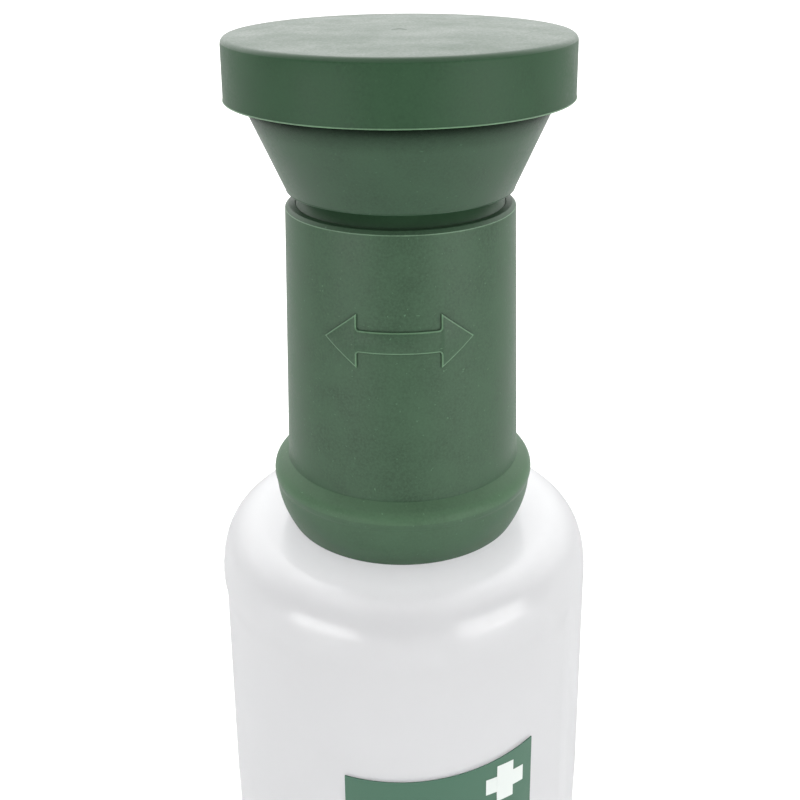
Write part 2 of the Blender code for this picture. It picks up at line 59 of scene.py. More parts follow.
# Mesh fineness
SEGMENTS = 256
SMALL_SEGMENTS = 96
ROUND_STEPS = 5
BEND_STEPS = 20
ROW_STEP = 0.0020
STRIP_WIDTH = 0.0006
ROUND_LIMIT_SHARE = 0.45
SHARP_ANGLE = radians(32)
FIT_GAP = 0.0003
AXIS_RADIUS = 0.000003
CUT_OVERRUN = 0.002

# Dust cap
CAP_DOME = 0.0004
CAP_WALL = 0.00225
CAP_ROOF = 0.0018
CAP_DRAFT = 0.0003
CAP_EDGE_ROUND = 0.0010
CAP_EDGE_BLEND = 0.0030
CAP_RING_DEPTH = 0.0030
CAP_RING_WALL = 0.0012
LID_TILT_SHARE = 0.45
GATE_RADIUS = 0.0013
GATE_DEPTH = 0.00005
GATE_NUB = 0.0004
FLASH_REACH = 0.00012
FLASH_HEIGHT = 0.00022
LINER_ROUND = 0.0003

# Eye cup
GROOVE_WIDTH = 0.0025
CONE_STEP = 0.00025
SPIGOT_WAIST = 0.0016
SPIGOT_SHADE = 0.0006
SPIGOT_GUIDE_DROP = 0.0001
GUIDE_GAP = 0.00003
CUP_WALL = 0.0018
CUP_FLOOR = 0.0022
CUP_RIM_HEIGHT = 0.0054
CUP_RIM_ROUND = 0.0006
BOWL_ROUND = 0.0060
SPIGOT_WALL = 0.0016
RING_SECTION = 0.0009
RING_POCKET_HEIGHT = 0.0024
CUP_HUB_WALL = 0.0014
ROSE_THICKNESS = 0.0012
ROSE_WALL = 0.0010
TUBE_WALL = 0.0016
ROSE_HOLE_RADIUS = 0.0006
ROSE_HOLE_CIRCLE = 0.0019
ROSE_OUTER_HOLES = 6
ROSE_HOLE_SIDES = 24

# Turning sleeve with its collar and arrow
SLEEVE_WALL = 0.0018
SLEEVE_DRAFT = 0.0017
SLEEVE_RIM_ROUND = 0.0002
SLEEVE_RIM_WIDTH = 0.00175
SLEEVE_RIM_CHAMFER = 0.0006
SLEEVE_BORE_CHAMFER = 0.0002
RIM_LINE_ROUND = 0.0003
# Tilt of the rim faces that take the painted highlight
RIM_HIGHLIGHT_LOW_SHARE = 0.10
RIM_HIGHLIGHT_HIGH_SHARE = 0.62
COLLAR_CREASE = 0.0131
COLLAR_CROWN = 0.0032
COLLAR_OVERHANG = 0.0028
COLLAR_FILLET = 0.0006
BEAD_ACROSS = 0.0022
BEAD_RISE = 0.0025
BEAD_START = radians(30)
BEAD_STOP = radians(120)
COLLAR_TUCK = 0.00285
COLLAR_BOW = 0.0006
COLLAR_FOOT_ROUND = 0.0004
ARROW_LEVEL = 0.0426
ARROW_HALF_LENGTH = 0.01315
ARROW_HEAD_LENGTH = 0.0060
ARROW_HEAD_HALF_WIDTH = 0.0047
ARROW_SHAFT_HALF_WIDTH = 0.0019
ARROW_RISE = 0.00038
ARROW_SINK = 0.0003
ARROW_EDGE = 0.00022
ARROW_EDGE_DROP = 0.00010
ARROW_FILLET = 0.0005
ARROW_TURN = radians(-1.5)

# Bottle
DRAW_IN = 0.0010
DRAW_LENGTH = 0.045
BODY_HEIGHT = 0.1362
SHOULDER_DEPTH = 0.0144
SHOULDER_BEND = 0.0090
SHOULDER_SQUARENESS = 2.75
BOTTLE_WALL = 0.0010
BASE_ROUND = 0.0060
FOOT_WIDTH = 0.0055
PUSH_UP = 0.0032
PUSH_SLOPE = 0.0040
NECK_RADIUS = 0.0150
NECK_WALL = 0.0014
NECK_FILLET = 0.0015
LIP_ROUND = 0.0004
BEAD_LEVEL = 0.0085
BEAD_HEIGHT = 0.0030
BEAD_DEPTH = 0.0015
RECESS_DEPTH = 0.0005
RECESS_FOOT = 0.0140
RECESS_RISE = 0.0020
RECESS_LEFT = radians(-105.0)
RECESS_RIGHT = radians(60.0)
RECESS_BLEND = 0.0012

# Label
LABEL_LEFT = radians(-18.0)
LABEL_RIGHT = radians(40.5)
LABEL_FOOT = 0.0200
LABEL_DROP = 0.0210
LABEL_RISE = 0.0026
LABEL_SAG = 0.0012
LABEL_THICKNESS = 0.0002
LABEL_COLUMNS = 48
LABEL_ROWS = 60

# Plus sign on the label
PLUS_TURN = radians(30.5)
PLUS_LEVEL = 0.1093
PLUS_HALF_LENGTH = 0.0042
PLUS_HALF_WIDTH = 0.0018
PLUS_RISE = 0.00002

# Tone of the moulded plastics
NOISE_LOW = 0.3
NOISE_HIGH = 0.7
MOTTLE_SCALE = 160.0
MOTTLE_DETAIL = 3.0
MOTTLE_ROUGHNESS = 0.55
FINE_DETAIL = 2.0
FINE_ROUGHNESS = 0.6
FLECK_SCALE = 1500.0
FLECK_LOW = 0.68
FLECK_HIGH = 0.76
FLECK_GAIN = 2.2
GRIT_SCALE = 2200.0
GRIT_SHARE = 0.7
GRIT_GAIN = 2.2
# Painted highlight: a paler tone on outward edges, standing in for the light a rounded edge catches
PAINTED_EDGE_LIGHT_REACH = 0.0004
PAINTED_EDGE_LIGHT_LOW = 0.35
PAINTED_EDGE_LIGHT_HIGH = 0.8
PAINTED_EDGE_LIGHT_SHARE = 0.45
PAINTED_EDGE_LIGHT_GAIN = 1.9
# Painted shade: a darker tone in corners and creases, where less light reaches
CREVICE_SHADE_REACH = 0.0006
SLEEVE_CREVICE_SHADE_REACH = 0.0004
COLLAR_CREVICE_SHADE_REACH = 0.0002
CREVICE_SHADE_LOW = 0.45
CREVICE_SHADE_HIGH = 0.95
CREVICE_SHADE_SHARE = 0.7
CREVICE_SHADE_GAIN = 0.4
CREVICE_SAMPLES = 6

# Shade on the eye cup, just under the lid
SHADE_REACH = 0.0060
SHADE_DROP = 0.0080
SHADE_BLEND = 0.0020
SHADE_LOW = 0.82
SHADE_HIGH = 0.98
SHADE_GAIN = 0.05
SHADE_SAMPLES = 16

# Gloss and relief of the moulded plastics
MOTTLE_GLOSS = 0.04
GRIT_GLOSS = 0.05
STREAK_SCALE = 28.0
STREAK_DETAIL = 3.0
STREAK_STRETCH = (1.0, 3.0, 1.0)
WAVE_SCALE = 90.0
WAVE_DETAIL = 1.0
WAVE_HEIGHT = 0.00006

# Moulded plastics: colour, roughness, height of the grain, and how strongly each effect shows
GREEN_CAP = (41, 67, 46)
PLASTICS = {
    "cap_green": dict(colour=GREEN_CAP, rough=0.46, grain=0.000002, mottle=0.10, speck=0.25, shine=0.15),
    "cap_top_green": dict(
        colour=GREEN_CAP, rough=0.38, grain=0.000002, mottle=0.07, speck=0.25, shine=0.3, streak=0.03,
    ),
    "cup_green": dict(
        colour=(42, 65, 47), rough=0.42, grain=0.000008, mottle=0.14, speck=0.5, shine=0.25, shade=1.0,
    ),
    # A lighter, greener copy of the cup's green: painted light on the spigot in the shaded groove
    "spigot_painted_light": dict(
        colour=(44, 71, 49), rough=0.50, grain=0.000006, mottle=0.08, speck=0.0, shine=0.25,
        reach=COLLAR_CREVICE_SHADE_REACH,
    ),
    "sleeve_green": dict(
        colour=(51, 74, 55), rough=0.45, grain=0.000014, mottle=0.17, speck=0.8, shine=0.2,
        reach=SLEEVE_CREVICE_SHADE_REACH,
    ),
    # A paler copy of the sleeve's green: painted light on the collar
    "collar_painted_light": dict(
        colour=(59, 83, 63), rough=0.44, grain=0.000010, mottle=0.10, speck=0.5, shine=0.2,
        reach=COLLAR_CREVICE_SHADE_REACH,
    ),
    # A paler copy of the collar's green: painted light on the bead, which faces up
    "bead_painted_light": dict(
        colour=(66, 92, 69), rough=0.46, grain=0.000010, mottle=0.10, speck=0.5, shine=0.15,
        reach=COLLAR_CREVICE_SHADE_REACH,
    ),
    # A paler copy of the sleeve's green: painted highlight on the arrow's border
    "arrow_edge_painted_highlight": dict(colour=(68, 98, 72), rough=0.5, grain=0.000006, mottle=0.2, speck=0.0),
    # A paler copy of the sleeve's green: painted highlight on the rim's outer round
    "rim_painted_highlight": dict(colour=(80, 107, 83), rough=0.5, grain=0.000006, mottle=0.2, speck=0.0),
    # Paler green on the real flash lip: a painted highlight along the lid's foot
    "flash_painted_highlight": dict(colour=(72, 102, 75), rough=0.5, grain=0.000006, mottle=0.3, speck=0.0),
    "milky_inside": dict(colour=(243, 243, 244), rough=0.4, grain=0.000004, mottle=0.02, speck=0.0),
    "label_green": dict(colour=(52, 83, 67), rough=0.42, grain=0.000003, mottle=0.03, speck=0.0, shine=0.3),
    "print_white": dict(colour=(172, 177, 174), rough=0.45, grain=0.000002, mottle=0.02, speck=0.0),
    "natural_white": dict(colour=(225, 226, 222), rough=0.4, grain=0.000005, mottle=0.02, speck=0.0),
    "liner_white": dict(colour=(222, 223, 218), rough=0.8, grain=0.00002, mottle=0.15, speck=0.0),
    "gasket_grey": dict(colour=(140, 142, 144), rough=0.8, grain=0.00002, mottle=0.15, speck=0.0),
    "ring_black": dict(colour=(45, 45, 46), rough=0.8, grain=0.00002, mottle=0.15, speck=0.0),
    "coupling_green": dict(colour=(64, 98, 72), rough=0.5, grain=0.00001, mottle=0.12, speck=0.5),
}

# Milky bottle
MILK_COLOUR = (223, 223, 224)
# Painted light: a whiter tone on the shoulder close round the collar, lifting the shade there
MILK_PAINTED_LIGHT_COLOUR = (243, 243, 244)
MILK_PAINTED_LIGHT_START = 0.0060
MILK_PAINTED_LIGHT_REACH = 0.0125
MILK_ROUGHNESS = 0.20
MILK_ROUGHNESS_SPREAD = 0.03
MILK_COAT_IOR = 1.75
MILK_SCALE = 45.0
MILK_DETAIL = 3.0
MILK_CLOUD_SHARE = 0.015
MILK_WAVE = 0.00012
MILK_SHARE = 0.72
PEEL_SCALE = 900.0
PEEL_HEIGHT = 0.000006
CLEAR_SHARE = 0.05

# Rinsing liquid
LIQUID_COLOUR = (240, 247, 250)
LIQUID_SCALE = 40.0
LIQUID_ROUGHNESS = 0.02
LIQUID_IOR = 1.333

# Studio: each lamp has an azimuth, an elevation, its sides and its power
FLOOR_HALF_SIZE = 4.0
FLOOR_COLOUR = (0.82, 0.82, 0.82, 1.0)
FLOOR_ROUGHNESS = 0.9
FLOOR_GLOW = 0.45
LAMP_DISTANCE = 0.80
LAMP_AIM = 0.16
LAMPS = {
    "softbox_left": (radians(-46.5), radians(-6.1), (0.57, 0.30), 2.7),
    "softbox_right": (radians(51.0), radians(1.5), (0.61, 0.36), 3.2),
    "upper_left": (radians(-48.0), radians(58.0), (0.60, 0.50), 1.0),
    "upper_right": (radians(52.0), radians(58.0), (0.60, 0.50), 0.8),
}
WORLD_FRONT = 0.17
WORLD_FRONT_HIGH = 0.47
WORLD_FRONT_SPAN = (0.1, 0.35)
WORLD_BACK = 2.75
WORLD_BACK_SPAN = (-0.3, 0.5)
WORLD_LOW_SHARE = 0.55
WORLD_LOW_SPAN = (0.1, 0.45)
WHITE = (1.0, 1.0, 1.0, 1.0)
BLACK = (0.0, 0.0, 0.0, 1.0)


def rounded(corners):
    """Outline points of the corners (radius, height, round), each with an arc of its own round."""
    points = []
    for i, (r, z, size) in enumerate(corners):
        here = Vector((r, z))
        if size == 0:
            points.append(here)
            continue
        back = Vector(corners[i - 1][:2]) - here
        ahead = Vector(corners[(i + 1) % len(corners)][:2]) - here
        room = ROUND_LIMIT_SHARE * min(back.length, ahead.length)
        half = back.angle(ahead) / 2
        size = min(size, room * tan(half))
        middle = here + (back.normalized() + ahead.normalized()).normalized() * (size / sin(half))
        first = (here + back.normalized() * (size / tan(half)) - middle).normalized()
        last = (here + ahead.normalized() * (size / tan(half)) - middle).normalized()
        shares = [k / ROUND_STEPS for k in range(ROUND_STEPS + 1)]
        points += [middle + first.slerp(last, share) * size for share in shares]
    return points


def sharp(points):
    """Corners without a round, for points that a formula gives."""
    return [(r, z, 0) for r, z in points]


def bend(r, z, across, down, squareness=2.0):
    """Points of a round shoulder, from (r - across, z) out and down to (r, z - down)."""
    turns = [pi / 2 * k / BEND_STEPS for k in range(BEND_STEPS + 1)]
    power = 2 / squareness
    return [(r - across + across * sin(t) ** power, z - down + down * cos(t) ** power) for t in turns]


def bead(r, z, across, rise, start, stop):
    """Points of a bead that is widest at (r, z), between two turns counted from its top."""
    turns = [start + (stop - start) * k / BEND_STEPS for k in range(BEND_STEPS + 1)]
    return [(r - across + across * sin(t), z + rise * cos(t)) for t in turns]


def bowed(start, stop, bow):
    """Points between two ends of a line that bulges outward by bow at its middle."""
    steps = [k / BEND_STEPS for k in range(1, BEND_STEPS)]
    first, last = Vector(start), Vector(stop)
    return [first.lerp(last, t) + Vector((4 * bow * t * (1 - t), 0)) for t in steps]


def with_rows(points, closed):
    """The outline with extra points, so that no stretch is longer than one row."""
    dense = []
    count = len(points)
    for i in range(count if closed else count - 1):
        start, stop = points[i], points[(i + 1) % count]
        parts = max(1, round((stop - start).length / ROW_STEP))
        dense += [start.lerp(stop, k / parts) for k in range(parts)]
    return dense if closed else dense + [points[-1]]


def mesh_from(name, bm):
    """The mesh of a finished bmesh, which is freed."""
    mesh = bpy.data.meshes.new(name)
    bm.to_mesh(mesh)
    bm.free()
    return mesh


def in_strips(bm, half_length):
    """Cuts a flat outline across into narrow strips, so that it can bend round a wall."""
    count = round(2 * half_length / STRIP_WIDTH)
    for k in range(1, count):
        cut = Vector((-half_length + k * STRIP_WIDTH, 0, 0))
        geometry = bm.verts[:] + bm.edges[:] + bm.faces[:]
        bmesh.ops.bisect_plane(bm, geom=geometry, plane_co=cut, plane_no=(1, 0, 0))
    bmesh.ops.triangulate(bm, faces=[f for f in bm.faces if len(f.verts) > 4])


def show(name, mesh, body, material, stands_for=None):
    """Puts a mesh in the scene as a piece that rides a body, and hides the node it stands for."""
    piece = bpy.data.objects.new(name, mesh)
    bpy.context.scene.collection.objects.link(piece)
    mesh.materials.append(material)
    mesh.shade_smooth()
    mesh.set_sharp_from_angle(angle=SHARP_ANGLE)
    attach(piece, body)
    if stands_for:
        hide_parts(stands_for)
    return piece


def turned(name, corners, segments=SEGMENTS):
    """A mesh turned about the bottle's axis from an outline that ends on the axis or closes on itself."""
    closed = corners[0][0] > 0
    points = with_rows(rounded(corners), closed)
    bm = bmesh.new()
    rings = []
    for r, z in points:
        if r < AXIS_RADIUS:
            rings.append([bm.verts.new((0, 0, z))])
        else:
            turns = [2 * pi * k / segments for k in range(segments)]
            rings.append([bm.verts.new((r * cos(t), r * sin(t), z)) for t in turns])
    pairs = list(zip(rings, rings[1:] + rings[:1])) if closed else list(zip(rings, rings[1:]))
    for low, high in pairs:
        for k in range(segments):
            n = (k + 1) % segments
            corner = [low[k % len(low)], low[n % len(low)], high[n % len(high)], high[k % len(high)]]
            bm.faces.new(list(dict.fromkeys(corner)))
    bmesh.ops.recalc_face_normals(bm, faces=bm.faces)
    return mesh_from(name, bm)


def azimuth_of(place):
    return atan2(place.x, -place.y)


def on_wall(radius, azimuth, z):
    return Vector((radius * sin(azimuth), -radius * cos(azimuth), z))


def soft_step(distance, width):
    """0 below -width/2, 1 above +width/2, smooth between."""
    t = min(max(distance / width + 1 / 2, 0), 1)
    return t * t * (3 - 2 * t)


# Materials


class Nodes:
    """Adds nodes to the tree of a material or world and links them."""

    def __init__(self, owner):
        owner.use_nodes = True
        self.tree = owner.node_tree

    def add(self, kind, links=None, **settings):
        made = self.tree.nodes.new(kind)
        for key, value in settings.items():
            setattr(made, key, value)
        for socket, source in (links or {}).items():
            self.put(made, socket, source)
        return made

    def put(self, made, socket, source):
        if isinstance(source, bpy.types.NodeSocket):
            self.tree.links.new(source, made.inputs[socket])
        else:
            made.inputs[socket].default_value = source

    def place(self):
        """Coordinates that stay with the piece."""
        return self.add("ShaderNodeTexCoord").outputs["Object"]

    def noise(self, place, scale, detail=2.0, roughness=0.5):
        links = {"Vector": place, "Scale": scale, "Detail": detail, "Roughness": roughness}
        return self.add("ShaderNodeTexNoise", links).outputs["Fac"]

    def span(self, value, low, high, start=0.0, stop=1.0, smooth=False):
        kind = "SMOOTHSTEP" if smooth else "LINEAR"
        links = {"Value": value, "From Min": low, "From Max": high, "To Min": start, "To Max": stop}
        return self.add("ShaderNodeMapRange", links, interpolation_type=kind).outputs["Result"]

    def spread(self, noise, start=0.0, stop=1.0):
        """Brings the usual range of a noise to start and stop."""
        return self.span(noise, NOISE_LOW, NOISE_HIGH, start, stop)

    def mix(self, share, first, second):
        """Mixes two colours, by the numbers that the node's factor and colour sockets have."""
        return self.add("ShaderNodeMix", {0: share, 6: first, 7: second}, data_type="RGBA").outputs[2]

    def math(self, kind, first, second):
        return self.add("ShaderNodeMath", {0: first, 1: second}, operation=kind).outputs[0]

    def stretch(self, place, factors):
        return self.add("ShaderNodeVectorMath", {0: place, 1: factors}, operation="MULTIPLY").outputs[0]

    def openness(self, reach, inside=False, samples=CREVICE_SAMPLES):
        """How open a spot is to its surroundings: lower in a corner or, seen from inside, at an edge."""
        made = self.add("ShaderNodeAmbientOcclusion", {"Distance": reach}, inside=inside, samples=samples)
        return made.outputs["AO"]

    def relief(self, coarse, coarse_height, fine, fine_height):
        """Normal of a coarse relief with a fine one on top of it."""
        soft = self.add("ShaderNodeBump", {"Height": coarse, "Distance": coarse_height, "Strength": 1.0})
        links = {"Height": fine, "Distance": fine_height, "Strength": 1.0, "Normal": soft.outputs["Normal"]}
        return self.add("ShaderNodeBump", links).outputs["Normal"]


def linear(colour):
    """Linear colour of an sRGB colour given in 0 to 255."""
    shares = [c / 255 for c in colour]
    return tuple(s / 12.92 if s <= 0.04045 else ((s + 0.055) / 1.055) ** 2.4 for s in shares) + (1.0,)


def scaled(colour, factor):
    return tuple(c * factor for c in colour[:3]) + (1.0,)


def shade_under_lid(nodes, place, strength):
    """Share of the dark zone on the eye cup's cone, close under the lid."""
    height = nodes.add("ShaderNodeSeparateXYZ", {"Vector": place}).outputs["Z"]
    low = BOX["dust_cap"][0].z - SHADE_DROP
    near = nodes.span(height, low, low + SHADE_BLEND)
    covered = nodes.openness(SHADE_REACH, samples=SHADE_SAMPLES)
    return nodes.math("MULTIPLY", near, nodes.span(covered, SHADE_LOW, SHADE_HIGH, strength, 0.0))


def moulded_plastic(
    name, colour, rough, grain, mottle, speck, shine=0.5, reach=CREVICE_SHADE_REACH, shade=0.0, streak=0.0,
):
    """Moulded plastic: mottled tone, pale specks, a painted highlight on edges, painted shade in corners
    and (with shade) under the lid, uneven gloss and fine grain.
    """
    material = bpy.data.materials.new(name)
    nodes = Nodes(material)
    shader = nodes.tree.nodes["Principled BSDF"]
    place = nodes.place()
    cloud = nodes.noise(place, MOTTLE_SCALE, MOTTLE_DETAIL, MOTTLE_ROUGHNESS)
    fleck = nodes.noise(place, FLECK_SCALE, FINE_DETAIL, FINE_ROUGHNESS)
    grit = nodes.noise(place, GRIT_SCALE, FINE_DETAIL, FINE_ROUGHNESS)
    base = linear(colour)
    tone = nodes.mix(nodes.spread(cloud), scaled(base, 1 - mottle), scaled(base, 1 + mottle))
    tone = nodes.mix(nodes.spread(grit, 0.0, GRIT_SHARE), tone, scaled(base, 1 + GRIT_GAIN * mottle))
    pale = nodes.span(fleck, FLECK_LOW, FLECK_HIGH, 0.0, speck, True)
    tone = nodes.mix(pale, tone, scaled(base, FLECK_GAIN))
    # Painted highlight: paler towards outward edges
    edge = nodes.span(nodes.openness(PAINTED_EDGE_LIGHT_REACH, True), PAINTED_EDGE_LIGHT_LOW, PAINTED_EDGE_LIGHT_HIGH, PAINTED_EDGE_LIGHT_SHARE, 0.0)
    tone = nodes.mix(edge, tone, scaled(base, PAINTED_EDGE_LIGHT_GAIN))
    # Painted shade: darker in corners and creases
    corner = nodes.span(nodes.openness(reach), CREVICE_SHADE_LOW, CREVICE_SHADE_HIGH, CREVICE_SHADE_SHARE, 0.0)
    tone = nodes.mix(corner, tone, scaled(base, CREVICE_SHADE_GAIN))
    if shade:
        dim = shade_under_lid(nodes, place, shade)
        tone = nodes.mix(dim, tone, scaled(base, SHADE_GAIN))
        shine = nodes.span(dim, 0.0, 1.0, shine, 0.0)
    nodes.put(shader, "Base Color", tone)
    nodes.put(shader, "Specular IOR Level", shine)
    cloud_gloss = nodes.spread(cloud, -MOTTLE_GLOSS, MOTTLE_GLOSS)
    uneven = nodes.math("ADD", cloud_gloss, nodes.spread(grit, -GRIT_GLOSS, GRIT_GLOSS))
    if streak:
        wiped = nodes.noise(nodes.stretch(place, STREAK_STRETCH), STREAK_SCALE, STREAK_DETAIL)
        uneven = nodes.math("ADD", uneven, nodes.spread(wiped, -streak, streak))
    nodes.put(shader, "Roughness", nodes.math("ADD", uneven, rough))
    wave = nodes.noise(place, WAVE_SCALE, WAVE_DETAIL)
    nodes.put(shader, "Normal", nodes.relief(wave, WAVE_HEIGHT, grit, grain))
    return material


def milky_plastic(name):
    """Milky plastic: most light scatters through the wall, with painted light that whitens the shoulder
    round the collar, under a glossy skin.
    """
    material = bpy.data.materials.new(name)
    nodes = Nodes(material)
    shader = nodes.tree.nodes["Principled BSDF"]
    place = nodes.place()
    cloud = nodes.noise(place, MILK_SCALE, MILK_DETAIL)
    flat = nodes.stretch(place, (1.0, 1.0, 0.0))
    radius = nodes.add("ShaderNodeVectorMath", {0: flat}, operation="LENGTH").outputs["Value"]
    collar = BOX["turning_sleeve"][1].x - COLLAR_TUCK
    # Painted light: whiter close round the collar
    near = nodes.span(radius, collar + MILK_PAINTED_LIGHT_START, collar + MILK_PAINTED_LIGHT_REACH, 1.0, 0.0, True)
    base = nodes.mix(near, linear(MILK_COLOUR), linear(MILK_PAINTED_LIGHT_COLOUR))
    tone = nodes.mix(nodes.spread(cloud, MILK_CLOUD_SHARE, 0.0), base, BLACK)
    rough = (MILK_ROUGHNESS - MILK_ROUGHNESS_SPREAD, MILK_ROUGHNESS + MILK_ROUGHNESS_SPREAD)
    nodes.put(shader, "Base Color", tone)
    nodes.put(shader, "Roughness", nodes.spread(cloud, *rough))
    nodes.put(shader, "Specular IOR Level", 1.0)
    nodes.put(shader, "Coat Weight", 1.0)
    nodes.put(shader, "Coat Roughness", MILK_ROUGHNESS)
    nodes.put(shader, "Coat IOR", MILK_COAT_IOR)
    wave = nodes.noise(place, WAVE_SCALE, WAVE_DETAIL)
    peel = nodes.noise(place, PEEL_SCALE, WAVE_DETAIL)
    nodes.put(shader, "Normal", nodes.relief(wave, MILK_WAVE, peel, PEEL_HEIGHT))
    through = nodes.add("ShaderNodeBsdfTranslucent", {"Color": tone}).outputs["BSDF"]
    both = nodes.add("ShaderNodeMixShader", {0: MILK_SHARE, 1: shader.outputs["BSDF"], 2: through})
    nodes.put(nodes.tree.nodes["Material Output"], "Surface", both.outputs["Shader"])
    return material


def clear_liquid(name):
    material = bpy.data.materials.new(name)
    nodes = Nodes(material)
    shader = nodes.tree.nodes["Principled BSDF"]
    ripple = nodes.noise(nodes.place(), LIQUID_SCALE)
    nodes.put(shader, "Base Color", linear(LIQUID_COLOUR))
    nodes.put(shader, "Roughness", nodes.spread(ripple, 0.0, LIQUID_ROUGHNESS))
    nodes.put(shader, "IOR", LIQUID_IOR)
    nodes.put(shader, "Alpha", CLEAR_SHARE)
    return material


LOOKS = {name: moulded_plastic(name, **values) for name, values in PLASTICS.items()}
LOOKS["milky_bottle"] = milky_plastic("milky_bottle")
LOOKS["saline"] = clear_liquid("saline")
# The inner skin of the bottle is nearly clear, because the outer one already scatters the light.
inner_shader = LOOKS["milky_inside"].node_tree.nodes["Principled BSDF"]
inner_shader.inputs["Alpha"].default_value = CLEAR_SHARE


# Pieces


def make_dust_cap():
    low, high = BOX["dust_cap"]
    foot = low.z
    top = high.z - CAP_DOME
    radius = high.x
    ceiling = top - CAP_ROOF
    bore = radius - CAP_WALL
    ring = BOX["eye_cup"][1].x - CUP_WALL - FIT_GAP
    rim = radius - CAP_DRAFT
    shares = [k / BEND_STEPS for k in range(1, BEND_STEPS)]
    dome = [(rim * s, top + CAP_DOME * (1 - s * s)) for s in shares]
    crown = top + CAP_DOME
    gate = [(0, crown - GATE_DEPTH + GATE_DEPTH / 3, 0), (GATE_NUB, crown - GATE_DEPTH, GATE_NUB)]
    gate += [(GATE_RADIUS - GATE_DEPTH, crown - GATE_DEPTH, GATE_DEPTH), (GATE_RADIUS, crown, GATE_DEPTH)]
    outer = gate + sharp([p for p in dome if 2 * GATE_RADIUS < p[0] < rim - CAP_EDGE_BLEND])
    outer += [
        (rim, top, CAP_EDGE_ROUND),
        (radius - FLASH_REACH, foot + FLASH_HEIGHT, 0),
        (radius, foot + FLASH_HEIGHT / 2, FLASH_HEIGHT / 4),
        (radius - FLASH_REACH, foot, 0),
    ]
    inner = [
        (bore, foot, LIP_ROUND),
        (bore, ceiling, 0),
        (ring, ceiling, 0),
        (ring, ceiling - CAP_RING_DEPTH, LIP_ROUND),
        (ring - CAP_RING_WALL, ceiling - CAP_RING_DEPTH, LIP_ROUND),
        (ring - CAP_RING_WALL, ceiling, LIP_ROUND),
        (0, ceiling, 0),
    ]
    mesh = turned("cap_shell", outer + inner)
    piece = show("cap_shell", mesh, "cap", LOOKS["cap_green"], "dust_cap")
    mesh.materials.append(LOOKS["flash_painted_highlight"])
    mesh.materials.append(LOOKS["cap_top_green"])
    for face in mesh.polygons:
        place = face.center
        # The flash lip is real; its paler green is a painted highlight along the edge
        if place.z < foot + FLASH_HEIGHT and hypot(place.x, place.y) > radius - CAP_DRAFT:
            face.material_index = 1
        elif place.z > ceiling and face.normal.z > LID_TILT_SHARE:
            face.material_index = 2
    return piece


def make_cap_liner():
    low, high = BOX["cap_liner"]
    inner = BOX["eye_cup"][1].x - CUP_WALL
    corners = [
        (inner, low.z, LINER_ROUND),
        (inner, high.z, LINER_ROUND),
        (high.x, high.z, LINER_ROUND),
        (high.x, low.z, LINER_ROUND),
    ]
    mesh = turned("liner_ring", corners)
    return show("liner_ring", mesh, "cap", LOOKS["liner_white"], "cap_liner")


def make_eye_cup():
    low, high = BOX["eye_cup"]
    rim = high.z
    outer = high.x
    bore = outer - CUP_WALL
    cone_top = rim - CUP_RIM_HEIGHT
    sleeve_top = BOX["turning_sleeve"][1].z
    cone_foot = sleeve_top + GROOVE_WIDTH
    crease = BOX["turning_sleeve"][1].x - COLLAR_OVERHANG
    foot_radius = crease - SLEEVE_DRAFT - CONE_STEP
    guide = crease - SLEEVE_DRAFT - SLEEVE_WALL - GUIDE_GAP
    guide_top = sleeve_top - SPIGOT_GUIDE_DROP
    waist = guide - SPIGOT_WAIST
    floor = cone_foot + CUP_FLOOR
    tube_hole = BOX["feed_tube"][1].x + FIT_GAP
    pocket = tube_hole + 2 * RING_SECTION + FIT_GAP
    pocket_top = low.z + RING_POCKET_HEIGHT
    hub = pocket + CUP_HUB_WALL
    rose_pocket = BOX["spray_rose"][1].x + FIT_GAP
    rose_seat = floor - ROSE_THICKNESS
    slope = (outer - foot_radius) / (cone_top - cone_foot)
    bowl_foot = foot_radius + slope * CUP_FLOOR - CUP_WALL
    corners = [
        (pocket, low.z, LIP_ROUND),
        (pocket, pocket_top, 0),
        (tube_hole, pocket_top, 0),
        (tube_hole, rose_seat, 0),
        (rose_pocket, rose_seat, 0),
        (rose_pocket, floor, LIP_ROUND / 2),
        (bowl_foot, floor, BOWL_ROUND),
        (bore, cone_top, BOWL_ROUND),
        (bore, rim, CUP_RIM_ROUND),
        (outer, rim, CUP_RIM_ROUND),
        (outer, cone_top, BOWL_ROUND),
        (foot_radius + slope * FLASH_HEIGHT - FLASH_REACH, cone_foot + FLASH_HEIGHT, 0),
        (foot_radius, cone_foot + FLASH_HEIGHT / 2, FLASH_HEIGHT / 4),
        (foot_radius - FLASH_REACH, cone_foot, 0),
        (waist, cone_foot, LIP_ROUND),
        (waist, cone_foot - SPIGOT_SHADE, NECK_FILLET),
        (guide, guide_top, LIP_ROUND / 2),
        (guide, low.z, LIP_ROUND),
        (waist - SPIGOT_WALL, low.z, 0),
        (waist - SPIGOT_WALL, cone_foot, NECK_FILLET),
        (hub, cone_foot, NECK_FILLET),
        (hub, low.z, LIP_ROUND),
    ]
    mesh = turned("cup_shell", corners)
    piece = show("cup_shell", mesh, "head", LOOKS["cup_green"], "eye_cup")
    mesh.materials.append(LOOKS["spigot_painted_light"])
    for face in mesh.polygons:
        place = face.center
        # Painted light: the spigot under the cone takes a lighter green
        face.material_index = int(place.z < cone_foot and hypot(place.x, place.y) < foot_radius)
    return piece


